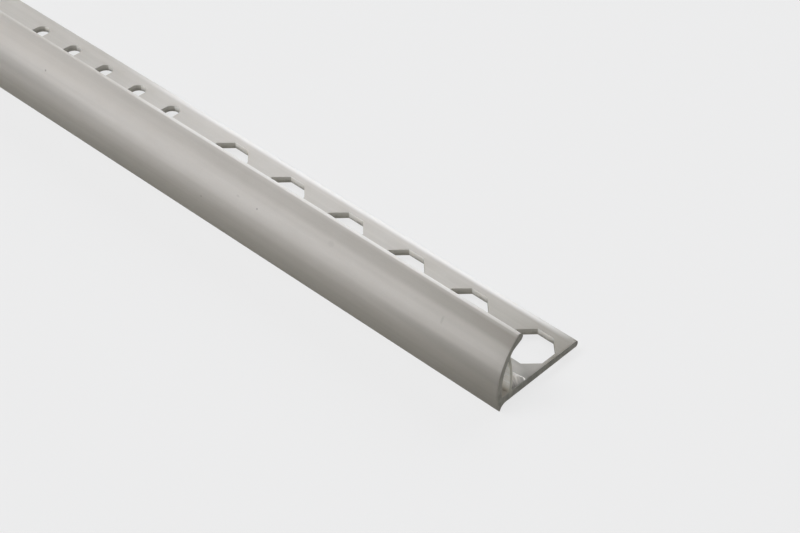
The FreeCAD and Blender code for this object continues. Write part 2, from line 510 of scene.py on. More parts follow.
    def build_stretch(self, stretch: Stretch) -> Mesh:
        """Build one stretch of the strip as a mesh that is open at both ends.

        Args:
            stretch: its lengths and what is punched in it.

        Returns:
            The mesh, with the punched place at X = 0.
        """
        bm = bmesh.new()
        self.extrude_stretch(bm, stretch)
        rims = self.open_side(bm, stretch.punch, True) + self.open_side(bm, stretch.punch, False)
        for face in bmesh.ops.bridge_loops(bm, edges=rims)["faces"]:
            face.material_index = Surface.PUNCHED.value
        bmesh.ops.bevel(bm, geom=rims, offset=self.rim, offset_type="OFFSET", segments=2, profile=0.5,
                        affect="EDGES", clamp_overlap=True, material=Surface.PUNCHED.value)
        bm.normal_update()
        for face in [item for item in bm.faces if item.material_index == Surface.PUNCHED.value]:
            if abs(face.normal.z) > self.rim_from:
                face.material_index = Surface.DRAWN.value
            # walls that turn away from Y take the darker copy of the punched finish, as painted shade
            elif abs(face.normal.y) < self.lit_wall_from:
                face.material_index = Surface.SHADED_WALL.value
        mesh = bpy.data.meshes.new("trim_stretch")
        bm.to_mesh(mesh)
        bm.free()
        return mesh

    def close_end(self, bm: BMesh, side: int) -> None:
        """Close one sawn end of the strip.

        Args:
            bm: the joined strip.
            side: 1 for the +X end, -1 for the -X end.
        """
        x = side * self.length / 2
        rim = [edge for edge in bm.edges
               if edge.is_boundary and all(abs(vertex.co.x - x) < TOUCHING for vertex in edge.verts)]
        facing = (float(side), 0.0, 0.0)
        made = bmesh.ops.triangle_fill(bm, use_beauty=True, edges=rim, normal=facing)["geom"]
        for face in [item for item in made if isinstance(item, BMFace)]:
            face.material_index = Surface.SAWN.value

    def build(self) -> Object:
        """Join all stretches into one closed strip.

        Returns:
            The strip's object, at the origin, with its place in its mesh.
        """
        places = self.places()
        middles = [(near[0] + far[0]) / 2 for near, far in zip(places, places[1:])]
        ends = [self.length / 2, *middles, -self.length / 2]
        built: dict[Stretch, Mesh] = {}
        bm = bmesh.new()
        for (x, punch), high, low in zip(places, ends, ends[1:]):
            stretch = Stretch.around(x, high, low, punch)
            if stretch not in built:
                built[stretch] = self.build_stretch(stretch)
            known = len(bm.verts)
            bm.from_mesh(built[stretch])
            bm.verts.ensure_lookup_table()
            bmesh.ops.translate(bm, verts=bm.verts[known:], vec=(x, 0.0, 0.0))
        bmesh.ops.remove_doubles(bm, verts=bm.verts[:], dist=TOUCHING)
        for side in (1, -1):
            self.close_end(bm, side)
        bmesh.ops.recalc_face_normals(bm, faces=bm.faces[:])
        open_edges = sum(1 for edge in bm.edges if not edge.is_manifold)
        trim = make_object("edge_trim_fine", bm)
        for used in built.values():
            bpy.data.meshes.remove(used)
        triangles = sum(len(face.vertices) - 2 for face in trim.data.polygons)
        log.info("%s: %d places, %d stretches, %d triangles, %d open edges",
                 trim.name, len(places), len(built), triangles, open_edges)
        return trim


@dataclass(frozen=True)
class FlapCorner:
    """A corner of the torn flap.

    Attributes:
        across: distance from the face's outermost line.
        above_bed: height above the leg's bedding side.
        behind: distance back from the sawn end.
    """

    across: float
    above_bed: float
    behind: float


@dataclass
class TornFlap:
    """The thin pleated flap that the saw tore up in the corner between web and leg.

    Attributes:
        leg_end: its corner on the leg at the sawn end.
        leg_back: its corner on the leg behind the end.
        web_top: its highest corner, against the web.
        sides: its sides along the root and up the flap.
        crowding: power by which the folds crowd towards the web.
        pleat_depth: how far a fold stands out at the free edge.
        curl: how far the free edge rolls over.
        curl_sag: share of that by which it sags.
        curl_power: how late the roll begins.
        ragged: share of its height by which the free edge varies.
        notches: how fast it varies along the edge.
        notch_row: the row of the noise that it follows.
    """

    section: TrimSection
    web_foot: FlapCorner = FlapCorner(0.0035, 0.00152, 0.0002)
    leg_end: FlapCorner = FlapCorner(0.0067, 0.00142, 0.00002)
    leg_back: FlapCorner = FlapCorner(0.00688, 0.00149, 0.00046)
    web_top: FlapCorner = FlapCorner(0.0047, 0.00395, 0.0014)
    sides: tuple[int, int] = (40, 14)
    thickness: float = 0.00007
    pleats: float = 3.5
    crowding: float = 0.8
    pleat_depth: float = 0.00016
    curl: float = 0.00016
    curl_sag: float = 0.5
    curl_power: int = 4
    ragged: float = 0.06
    notches: float = 11.0
    notch_row: float = 3.0

    def at(self, corner: FlapCorner) -> Vector:
        """Return a corner in the strip's frame, behind the +X end."""
        place = self.section.place((corner.across, corner.above_bed))
        return Vector((END_X - corner.behind, place.y, place.z))

    def lay(self, along: float, up: float) -> Vector:
        """Work out where a point of the flat flap lies.

        Args:
            along: its share of the way from the web to the leg's corners.
            up: its share of the way from the rooted edge to the free edge.

        Returns:
            Its place in the strip's frame.
        """
        foot = self.at(self.web_foot)
        root = foot.lerp(self.at(self.leg_end), along)
        free = self.at(self.web_top).lerp(self.at(self.leg_back), along)
        notch = 0.5 + 0.5 * noise.noise(Vector((along * self.notches, 0.0, self.notch_row)))
        fold = math.sin(math.tau * self.pleats * along ** self.crowding)
        facing = (self.at(self.leg_end) - foot).cross(self.at(self.web_top) - foot).normalized()
        pleat = facing * self.pleat_depth * fold * up * (1 - along)
        roll = Vector((-self.curl, 0.0, -self.curl * self.curl_sag)) * up ** self.curl_power
        return root.lerp(free, up * (1 - self.ragged * notch)) + pleat + roll

    def build(self) -> Object:
        """Build the flap as a thin closed sheet.

        Returns:
            The flap's object.
        """
        bm = bmesh.new()
        bmesh.ops.create_grid(bm, x_segments=self.sides[0], y_segments=self.sides[1], size=0.5)
        for vertex in bm.verts:
            vertex.co = self.lay(vertex.co.x + 0.5, vertex.co.y + 0.5)
        bmesh.ops.solidify(bm, geom=bm.faces[:], thickness=self.thickness)
        bmesh.ops.recalc_face_normals(bm, faces=bm.faces[:])
        flap = make_object("torn_flap", bm)
        log.info("%s: %d faces at the sawn end", flap.name, len(flap.data.polygons))
        return flap


def make_object(name: str, bm: BMesh) -> Object:
    """Turn a finished bmesh into a smooth-shaded object at the origin.

    Args:
        name: the object's and its mesh's name.
        bm: the finished shape, which is freed.

    Returns:
        The object, linked to the scene.
    """
    mesh = bpy.data.meshes.new(name)
    bm.to_mesh(mesh)
    bm.free()
    mesh.shade_smooth()
    mesh.set_sharp_from_angle(angle=SHARP_TURN)
    made = bpy.data.objects.new(name, mesh)
    bpy.context.scene.collection.objects.link(made)
    return made


@dataclass
class NodeSketch:
    """Adds nodes to one tree and links them as they come.

    Attributes:
        tree: the material's, world's or group's node tree.
    """

    tree: NodeTree

    def add(self, kind: str, settings: dict[str, str] | None = None, **feeds: Feed) -> Node:
        """Add one node.

        Args:
            kind: its type, without the ShaderNode in front.
            settings: its own options.
            feeds: what goes into its inputs, by name with _ for a space: sockets to link, or values.

        Returns:
            The node.
        """
        node = self.tree.nodes.new("ShaderNode" + kind)
        for option, value in (settings or {}).items():
            setattr(node, option, value)
        self.feed_named(node, feeds)
        return node

    def feed_named(self, node: Node, feeds: dict[str, Feed]) -> None:
        """Feed a node's inputs by name, with _ for a space."""
        for name, feed in feeds.items():
            self.feed(node.inputs[name.replace("_", " ")], feed)

    def feed(self, socket: Socket, feed: Feed) -> None:
        """Link a socket to another, or set its value.

        Args:
            socket: the input that is fed.
            feed: the socket that goes into it, or its value.
        """
        if isinstance(feed, bpy.types.NodeSocket):
            self.tree.links.new(feed, socket)
        else:
            socket.default_value = feed

    def math(self, operation: str, *feeds: Feed) -> Socket:
        """Add a Math node.

        Args:
            operation: what it works out.
            feeds: its one, two or three inputs.

        Returns:
            Its result.
        """
        node = self.add("Math", {"operation": operation})
        for socket, feed in zip(node.inputs, feeds):
            self.feed(socket, feed)
        return node.outputs[0]

    def product(self, first: Feed, *others: Feed) -> Socket:
        """Multiply two or more feeds.

        Args:
            first: the first factor.
            others: the other factors.

        Returns:
            Their product.
        """
        for other in others:
            first = self.math("MULTIPLY", first, other)
        return first

    def vary(self, value: Feed, texture: Socket, amount: float) -> Socket:
        """Return a value moved up and down by a texture that swings around a half."""
        return self.math("MULTIPLY_ADD", self.math("SUBTRACT", texture, 0.5), amount, value)

    def axes(self, place: Socket) -> tuple[Socket, Socket, Socket]:
        """Return a place's X, Y and Z."""
        parts = self.add("SeparateXYZ", Vector=place).outputs
        return (parts["X"], parts["Y"], parts["Z"])

    def stretch(self, place: Socket, scale: Point, turn: float = 0.0) -> Socket:
        """Return the place scaled along its axes and then turned about X."""
        return self.add("Mapping", {"vector_type": "POINT"}, Vector=place, Scale=scale,
                        Rotation=(turn, 0.0, 0.0)).outputs["Vector"]

    def grain(self, place: Socket, scale: Feed, detail: float = 2.0, roughness: float = 0.5) -> Socket:
        """Return a noise over the place."""
        return self.add("TexNoise", Vector=place, Scale=scale, Detail=detail,
                        Roughness=roughness).outputs["Fac"]

    def remap(self, value: Feed, old: Range, new: Range = WHOLE) -> Socket:
        """Return a value moved from one range into another, clamped and eased at both ends."""
        return self.add("MapRange", {"interpolation_type": "SMOOTHSTEP"}, Value=value, From_Min=old[0],
                        From_Max=old[1], To_Min=new[0], To_Max=new[1]).outputs["Result"]

    def blend(self, mask: Feed, first: Socket | Colour, second: Socket | Colour) -> Socket:
        """Return two colours blended by a mask."""
        first, second = ((*side, 1.0) if isinstance(side, tuple) else side for side in (first, second))
        return self.add("Mix", {"data_type": "RGBA"}, Factor=mask, A=first, B=second).outputs["Result"]


class Effects:
    """The node groups that the finishes share, each built once."""

    @staticmethod
    def start(name: str, inputs: dict[str, float],
              outputs: tuple[str, ...]) -> tuple[NodeSketch, Ports, Ports]:
        """Start a group.

        Args:
            name: the group's name.
            inputs: its number inputs with their defaults, besides Place.
            outputs: its number outputs.

        Returns:
            A sketch of its tree, the sockets that its inputs give, and those that its outputs take.
        """
        tree = bpy.data.node_groups.new(name, "ShaderNodeTree")
        tree.interface.new_socket("Place", in_out="INPUT", socket_type="NodeSocketVector")
        for label, value in inputs.items():
            socket = tree.interface.new_socket(label, in_out="INPUT", socket_type="NodeSocketFloat")
            socket.default_value = value
        for label in outputs:
            tree.interface.new_socket(label, in_out="OUTPUT", socket_type="NodeSocketFloat")
        given = tree.nodes.new("NodeGroupInput")
        taken = tree.nodes.new("NodeGroupOutput")
        return NodeSketch(tree), given.outputs, taken.inputs

    @cached_property
    def die_lines(self) -> NodeTree:
        """Broad bands and fine lines that the die leaves along the strip.

        Returns:
            The group's tree.
        """
        sketch, given, taken = self.start("die_lines", {"Band Width": 0.0012, "Line Width": 0.00015},
                                          ("Bands", "Lines"))
        drawn_out = sketch.stretch(given["Place"], (0.012, 1.0, 1.0))
        for width, out in (("Band Width", "Bands"), ("Line Width", "Lines")):
            sketch.feed(taken[out], sketch.grain(drawn_out, sketch.math("DIVIDE", 1.0, given[width])))
        return sketch.tree

    @cached_property
    def clouding(self) -> NodeTree:
        """Soft clouds in the colour and the fine grain of the skin.

        Returns:
            The group's tree.
        """
        sketch, given, taken = self.start("clouding", {"Cloud Size": 0.004, "Grain Size": 0.0002},
                                          ("Clouds", "Grain"))
        longer = sketch.stretch(given["Place"], (0.45, 1.0, 1.0))
        clouds, grain = (
            sketch.grain(place, sketch.math("DIVIDE", 1.0, given[size]), detail=3.0, roughness=roughness)
            for place, size, roughness in ((longer, "Cloud Size", 0.6), (given["Place"], "Grain Size", 0.7)))
        sketch.feed(taken["Clouds"], sketch.remap(clouds, (0.3, 0.7)))
        sketch.feed(taken["Grain"], grain)
        return sketch.tree

    @cached_property
    def marks(self) -> NodeTree:
        """Sparse small marks, each in a cell of its own.

        Returns:
            The group's tree.
        """
        sketch, given, taken = self.start("marks", {"Spacing": 0.004, "Reach": 0.06, "Share": 0.3}, ("Mask",))
        cells = sketch.add("TexVoronoi", Vector=given["Place"],
                           Scale=sketch.math("DIVIDE", 1.0, given["Spacing"])).outputs
        near = sketch.math("DIVIDE", cells["Distance"], given["Reach"])
        chance = sketch.add("SeparateColor", Color=cells["Color"]).outputs["Red"]
        kept = sketch.math("LESS_THAN", chance, given["Share"])
        sketch.feed(taken["Mask"], sketch.product(sketch.remap(near, (0.5, 1.0), (1.0, 0.0)), kept))
        return sketch.tree

    @cached_property
    def end_fade(self) -> NodeTree:
        """A mask that fades away from both sawn ends, for the painted shade and painted light that lie there.

        Returns:
            The group's tree.
        """
        sketch, given, taken = self.start("end_fade", {"Half Length": END_X, "Reach": 0.017}, ("Mask",))
        from_middle = sketch.math("ABSOLUTE", sketch.axes(given["Place"])[0])
        behind = sketch.math("SUBTRACT", given["Half Length"], from_middle)
        fade = sketch.math("DIVIDE", behind, given["Reach"])
        sketch.feed(taken["Mask"], sketch.math("EXPONENT", sketch.product(fade, -1.0)))
        return sketch.tree


@dataclass
class Skin(NodeSketch):
    """The sketch of one material, with what every finish works from.

    Attributes:
        effects: the shared node groups.
        place: the piece's own coordinates.
    """

    effects: Effects
    place: Socket

    def effect(self, group: NodeTree, place: Socket | None = None, **feeds: Feed) -> Ports:
        """Place a shared effect.

        Args:
            group: the effect's node group.
            place: the coordinates that it reads, where they aren't the piece's own.
            feeds: its other inputs, by name with _ for a space.

        Returns:
            Its outputs.
        """
        node = self.tree.nodes.new("ShaderNodeGroup")
        node.node_tree = group
        self.feed_named(node, {"Place": self.place if place is None else place, **feeds})
        return node.outputs

    def painted_light_at_ends(self, reach: float) -> Socket:
        """Return a mask that fades over a reach in from the sawn ends, for painted shade and painted light
        there.
        """
        return self.effect(self.effects.end_fade, Reach=reach)["Mask"]


@dataclass(frozen=True)
class Dressing:
    """What a finish feeds its shader.

    Attributes:
        colour: its base colour.
        roughness: its roughness.
        height: the height of its relief.
    """

    colour: Socket
    roughness: Socket
    height: Socket


@dataclass(frozen=True)
class PvcFinish:
    """A finish of the through-coloured PVC.

    Attributes:
        colour: its base colour, linear.
        deep: its colour where it is darkest, linear.
        roughness: its lowest and highest roughness.
        relief: how high its relief stands, in metres.
        end_shade: how strongly painted shade darkens it towards the sawn ends.
        end_reach: how far in that reaches.
        translucence: how far light scatters under the skin.
    """

    name: str
    colour: Colour
    deep: Colour
    roughness: Range
    relief: float
    end_shade: float = 0.0
    end_reach: float = 0.017
    translucence: float = 0.0

    def dress(self, skin: Skin) -> Dressing:
        """Return what this finish shows; each kind of surface has its own."""
        raise NotImplementedError

    def toned(self, skin: Skin, tone: Socket) -> Socket:
        """Return the deep colour as it turns into the full one with a tone."""
        return skin.blend(tone, self.deep, self.colour)

    def shade_ends(self, skin: Skin, colour: Socket) -> Socket:
        """Darken a colour towards the sawn ends with painted shade."""
        return skin.blend(skin.product(skin.painted_light_at_ends(self.end_reach), self.end_shade), colour, PAINTED_SHADE)

    def tilted(self, skin: Skin, height: Socket, axis: Socket, slope: float) -> Socket:
        """Return a height that also falls along an axis, which turns how the surface takes the light."""
        return skin.math("MULTIPLY_ADD", axis, -slope / self.relief, height)

    def build(self, effects: Effects) -> Material:
        """Build the finished material.

        Args:
            effects: the shared node groups.

        Returns:
            The material.
        """
        material = bpy.data.materials.new(self.name)
        material.use_nodes = True
        shader = material.node_tree.nodes["Principled BSDF"].inputs
        place = NodeSketch(material.node_tree).add("TexCoord").outputs["Object"]
        skin = Skin(material.node_tree, effects, place)
        dressing = self.dress(skin)
        bump = skin.add("Bump", Height=dressing.height, Distance=self.relief, Strength=1.0)
        skin.feed(shader["Base Color"], dressing.colour)
        skin.feed(shader["Roughness"], dressing.roughness)
        skin.feed(shader["Normal"], bump.outputs["Normal"])
        shader["Subsurface Weight"].default_value = 1.0 if self.translucence else 0.0
        shader["Subsurface Radius"].default_value = SCATTER_BY_COLOUR
        shader["Subsurface Scale"].default_value = self.translucence
        return material


@dataclass(frozen=True)
class SkinPatch:
    """One patch on the skin; the patches lay marks, painted shade and painted highlights.

    Attributes:
        at: its middle.
        reach: how far it reaches along each axis.
        colour: its colour, linear.
        strength: how strongly it covers the skin.
        core: share of its reach over which it keeps that strength.
    """

    at: Point
    reach: Point
    colour: Colour
    strength: float
    core: float = 0.4

    def apply_to(self, skin: Skin, colour: Socket) -> Socket:
        """Put this patch on a colour.

        Args:
            skin: the material's sketch.
            colour: the colour without it.

        Returns:
            The colour with it.
        """
        local = skin.add("Mapping", {"vector_type": "TEXTURE"}, Vector=skin.place, Location=self.at,
                         Scale=self.reach).outputs["Vector"]
        off = skin.add("VectorMath", {"operation": "LENGTH"}, Vector=local).outputs["Value"]
        return skin.blend(skin.remap(off, (self.core, 1.0), (self.strength, 0.0)), colour, self.colour)


DIRT: Colour = (0.16, 0.14, 0.12)
SCRATCH: Colour = (0.3, 0.28, 0.25)
# Colour of the patches of painted shade that dim the face's sheen.
PAINTED_SHADE_PATCH: Colour = (0.1, 0.09, 0.06)
# Specks, scratches and a blotch on the drawn skin, then patches of painted shade and painted light.
MARKS_AND_PAINTED_LIGHT = (
    SkinPatch((0.8612, -0.00849, 0.00946), (0.00022, 0.0005, 0.00022), DIRT, 0.75),
    SkinPatch((0.8066, -0.00814, 0.01012), (0.00025, 0.0005, 0.00025), DIRT, 0.7),
    SkinPatch((0.8485, -0.00958, 0.0057), (0.0002, 0.0005, 0.0002), DIRT, 0.6),
    SkinPatch((0.8566, -0.00842, 0.00959), (0.0005, 0.0006, 0.00025), SCRATCH, 0.35),
    SkinPatch((0.902, -0.00807, 0.01024), (0.0003, 0.0012, 0.0008), SCRATCH, 0.3),
    SkinPatch((0.8775, -0.00762, 0.01095), (0.0009, 0.0012, 0.0006), (0.36, 0.34, 0.31), 0.22),
    # Painted shade: two broad patches that dim the face's sheen, at the +X end and further along.
    SkinPatch((0.915, -0.0093, 0.007), (0.032, 0.002, 0.0018), PAINTED_SHADE_PATCH, 0.26),
    SkinPatch((0.765, -0.009, 0.0078), (0.075, 0.003, 0.0024), PAINTED_SHADE_PATCH, 0.34),
    # Painted highlight: a broad pale patch high on the face, about 150 mm in from the +X end.
    SkinPatch((0.77, -0.0068, 0.0116), (0.095, 0.004, 0.0024), (0.76, 0.72, 0.66), 0.34),
    # Painted light on the leg beside the web near the +X end, and painted shade just beside it.
    SkinPatch((0.9116, -0.0028, 0.0024), (0.0028, 0.0022, 0.001), (1.0, 0.96, 0.9), 0.42),
    SkinPatch((0.9147, -0.002, 0.0024), (0.0012, 0.0016, 0.001), (0.3, 0.28, 0.24), 0.25),
)
# Colour of the painted highlights on the sawn end.
CUT_HIGHLIGHT: Colour = (0.8, 0.77, 0.71)
SAWN_HIGHLIGHTS = (
    SkinPatch((0.915, -0.0065, 0.0062), (0.01, 0.0011, 0.0058), CUT_HIGHLIGHT, 0.75),
    SkinPatch((0.915, -0.0088, 0.0085), (0.01, 0.0026, 0.0075), CUT_HIGHLIGHT, 0.16),
)


@dataclass(frozen=True)
class Scatter:
    """Small marks that are strewn over the skin.

    Attributes:
        spacing: size of the cells that they lie in.
        reach: how far a mark reaches, as a share of its cell.
        share: share of the cells that hold one.
        colour: their colour, linear.
        strength: how strongly they cover the skin.
    """

    spacing: float
    reach: float
    share: float
    colour: Colour
    strength: float

    def mask(self, skin: Skin, place: Socket) -> Socket:
        """Return the mask of these marks over a place."""
        return skin.effect(skin.effects.marks, place, Spacing=self.spacing, Reach=self.reach,
                           Share=self.share)["Mask"]

    def apply_to(self, skin: Skin, mask: Socket, colour: Socket) -> Socket:
        """Return a colour with these marks on it."""
        return skin.blend(skin.product(mask, self.strength), colour, self.colour)


@dataclass(frozen=True)
class DrawnPvc(PvcFinish):
    """The satin skin that comes off the die.

    Attributes:
        band_range: values of the die's bands that give the darkest and the palest tone.
        cloud_share: share of the tone that comes from the clouds.
        line_height, grain_height, speck_depth: shares of the relief that these have, beside the bands.
        matt_range: values of grain and scuffs between which the skin turns from satin to matt.
        scuff_matt: how much a scuff adds to them.
        scuff_stretch: how the scuffs are drawn out along X and squeezed along Y.
        scuff_turn: turn of the cells that they lie in, in radians about X.
        edge_highlight: colour of the painted highlight on the lip's and the leg's edges, linear.
        lip_highlight: Z between which the lip's painted highlight grows upwards.
        tip_highlight: Y between which the painted highlight on the leg's tip grows outwards.
        run: X at which a run of painted highlight begins, and the length from run to run.
        tip_wave: heights of the runs' wave between which the tip's painted highlight comes on.
        lip_wave: heights of the runs' wave between which the lip's painted highlight comes on.
        tip_highlight_fade: how far in from the sawn ends the tip's painted highlight fades out.
        stripe: Z between which the stripe of painted shade under the lip lies.
        stripe_edges: over how much of Z it fades in at its foot and out at its top.
        stripe_reach: how far that stripe reaches in from the sawn ends.
        stripe_shade: how dark it is at the ends.
        leg_from: Y between which the leg's shade begins.
        leg_shade: how much darker than the face painted shade makes the leg at the ends.
        between_shade: share of that painted shade which the leg keeps between two runs.
        cut_reach: how far in from the sawn ends the cut edge is dark, as strongly as cut_shade.
        skin_patches: the marks, painted shade and painted highlights that stay where they are.
    """

    name: str = "pvc_drawn"
    colour: Colour = (0.577, 0.55, 0.506)
    deep: Colour = (0.525, 0.5, 0.458)
    roughness: Range = (0.5, 0.62)
    relief: float = 0.000012
    end_shade: float = 0.37
    translucence: float = 0.0003
    grain_size: float = 0.0004
    band_range: Range = (0.36, 0.64)
    cloud_share: float = 0.4
    line_height: float = 0.35
    grain_height: float = 0.12
    speck_depth: float = 0.6
    matt_range: Range = (0.2, 0.9)
    scuff_matt: float = 0.4
    specks: Scatter = Scatter(0.0055, 0.03, 0.16, (0.2, 0.17, 0.14), 0.7)
    scuffs: Scatter = Scatter(0.007, 0.07, 0.1, (0.7, 0.69, 0.66), 0.22)
    scuff_stretch: Point = (0.4, 1.6, 1.0)
    scuff_turn: float = math.radians(35.0)
    # painted highlights on the lip's upper edge and the leg's rounded tip, in runs along the strip
    edge_highlight: Colour = (0.84, 0.825, 0.795)
    lip_highlight: Range = (0.0134, 0.01354)
    lip_share: float = 0.72
    tip_highlight: Range = (0.0081, 0.0091)
    run: Range = (0.795, 0.3)
    tip_wave: Range = (0.12, 0.74)
    lip_wave: Range = (0.35, 0.9)
    tip_highlight_fade: float = 0.0065
    stripe: Range = (0.0113, 0.01335)
    stripe_edges: Range = (0.0009, 0.0003)
    stripe_reach: float = 0.04
    stripe_shade: float = 0.31
    leg_from: Range = (0.0, 0.004)
    leg_shade: float = 0.34
    between_shade: float = 0.4
    cut_reach: float = 0.00015
    cut_shade: float = 0.4
    skin_patches: tuple[SkinPatch, ...] = MARKS_AND_PAINTED_LIGHT

    def dress(self, skin: Skin) -> Dressing:
        """Lay die lines, clouds, specks, scuffs and marks, patches of painted shade and light, painted
        highlights on the edges and painted shade towards the ends.

        Args:
            skin: the material's sketch.

        Returns:
            The skin's colour, roughness and height.
        """
        lines = skin.effect(skin.effects.die_lines)
        clouds = skin.effect(skin.effects.clouding, Grain_Size=self.grain_size)
        specks = self.specks.mask(skin, skin.place)
        scuffs = self.scuffs.mask(skin, skin.stretch(skin.place, self.scuff_stretch, self.scuff_turn))
        banded = skin.remap(lines["Bands"], self.band_range)
        tone = skin.add("Mix", {"data_type": "FLOAT"}, Factor=self.cloud_share, A=banded,
                        B=clouds["Clouds"]).outputs["Result"]
        colour = self.toned(skin, skin.vary(tone, clouds["Grain"], 1.0))
        colour = self.shade_stripes(skin, colour)
        colour = self.scuffs.apply_to(skin, scuffs, colour)
        colour = self.specks.apply_to(skin, specks, colour)
        # marks, painted shade and painted highlights, one patch after another
        for mark in self.skin_patches:
            colour = mark.apply_to(skin, colour)
        colour = self.paint_edge_highlights(skin, self.shade_ends(skin, colour))
        matt = skin.math("MULTIPLY_ADD", scuffs, self.scuff_matt, clouds["Grain"])
        height = skin.math("MULTIPLY_ADD", lines["Lines"], self.line_height, lines["Bands"])
        height = skin.math("MULTIPLY_ADD", clouds["Grain"], self.grain_height, height)
        height = skin.math("MULTIPLY_ADD", specks, -self.speck_depth, height)
        return Dressing(colour, skin.remap(matt, self.matt_range, self.roughness), height)

    def wave(self, skin: Skin) -> Socket:
        """Work out the slow wave along the strip that its runs of painted highlight follow.

        Args:
            skin: the material's sketch.

        Returns:
            The wave, from -1 to 1.
        """
        start, period = self.run
        past = skin.math("SUBTRACT", skin.axes(skin.place)[0], start)
        return skin.math("SINE", skin.product(past, math.tau / period))

    def paint_edge_highlights(self, skin: Skin, colour: Socket) -> Socket:
        """Paint highlights on the lip's upper edge and the leg's tip, in runs along the strip.

        Args:
            skin: the material's sketch.
            colour: the colour without them.

        Returns:
            The colour with them.
        """
        _, y, z = skin.axes(skin.place)
        wave = self.wave(skin)
        whole = skin.math("SUBTRACT", 1.0, skin.painted_light_at_ends(self.tip_highlight_fade))
        tip = skin.product(skin.remap(y, self.tip_highlight), skin.remap(wave, self.tip_wave), whole)
        lip = skin.product(skin.remap(z, self.lip_highlight, (0.0, self.lip_share)),
                           skin.remap(wave, self.lip_wave))
        return skin.blend(skin.math("MAXIMUM", tip, lip), colour, self.edge_highlight)

    def shade_stripes(self, skin: Skin, colour: Socket) -> Socket:
        """Paint shade on the stripe under the lip and on the leg near the sawn ends, and darken the cut edges
        there.

        Args:
            skin: the material's sketch.
            colour: the colour without them.

        Returns:
            The colour with them.
        """
        _, y, z = skin.axes(skin.place)
        low, high = self.stripe
        foot, top = self.stripe_edges
        # painted shade in a stripe under the lip, strongest near the sawn ends
        above = skin.remap(z, (low, low + foot))
        below = skin.remap(z, (high - top, high), (1.0, 0.0))
        stripe_painted_shade = skin.product(above, below, skin.painted_light_at_ends(self.stripe_reach), self.stripe_shade)
        colour = skin.blend(stripe_painted_shade, colour, PAINTED_SHADE)
        # painted shade on the leg near the sawn ends and, weaker, between the runs of painted highlight
        between = skin.remap(self.wave(skin), self.tip_wave, (self.between_shade, 0.0))
        painted_light_at_ends = skin.math("MAXIMUM", skin.painted_light_at_ends(self.end_reach), between)
        on_leg = skin.product(skin.remap(y, self.leg_from, (0.0, self.leg_shade)), painted_light_at_ends)
        colour = skin.blend(on_leg, colour, PAINTED_SHADE)
        return skin.blend(skin.product(skin.painted_light_at_ends(self.cut_reach), self.cut_shade), colour, BLACK)


@dataclass(frozen=True)
class PunchedPvc(PvcFinish):
    """The wall of a punched hole: burnished where the punch enters, broken below.

    Attributes:
        break_from: Z up to which the wall is broken.
        break_to: Z from which it is burnished.
        wander: how far the border between the two wanders.
        shear_scale: scale of the punch's marks, per metre.
        shear_share: how far those marks mix the two.
        grain_height: share of the relief that the grain has, beside the shear marks.
        draft: how far the wall leans open, as a slope.
    """

    name: str = "pvc_punched"
    # pale partly for the punch's stress-whitening and partly as painted light on the hole walls
    colour: Colour = (0.8, 0.785, 0.755)
    deep: Colour = (0.6, 0.585, 0.555)
    roughness: Range = (0.45, 0.7)
    relief: float = 0.00002
    end_shade: float = 0.2
    translucence: float = 0.0007
    break_from: float = 0.0013
    break_to: float = 0.0017
    wander: float = 0.0004
    shear_scale: float = 5200.0
    shear_stretch: Point = (1.0, 1.0, 0.08)
    shear_share: float = 0.7
    grain_height: float = 0.6
    draft: float = 0.24

    def dress(self, skin: Skin) -> Dressing:
        """Lay a pale burnished band over a rough broken one, with shear marks through the leg.

        Args:
            skin: the material's sketch.

        Returns:
            The wall's colour, roughness and height.
        """
        clouds = skin.effect(skin.effects.clouding, Cloud_Size=0.0009, Grain_Size=0.00012)
        z = skin.axes(skin.place)[2]
        border = skin.vary(z, clouds["Clouds"], self.wander)
        burnished = skin.remap(border, (self.break_from, self.break_to))
        shear = skin.grain(skin.stretch(skin.place, self.shear_stretch), self.shear_scale)
        tone = skin.remap(skin.vary(burnished, shear, self.shear_share), WHOLE)
        colour = self.shade_ends(skin, self.toned(skin, tone))
        roughness = skin.remap(burnished, WHOLE, self.roughness[::-1])
        height = skin.math("MULTIPLY_ADD", clouds["Grain"], self.grain_height, shear)
        return Dressing(colour, roughness, self.tilted(skin, height, z, self.draft))


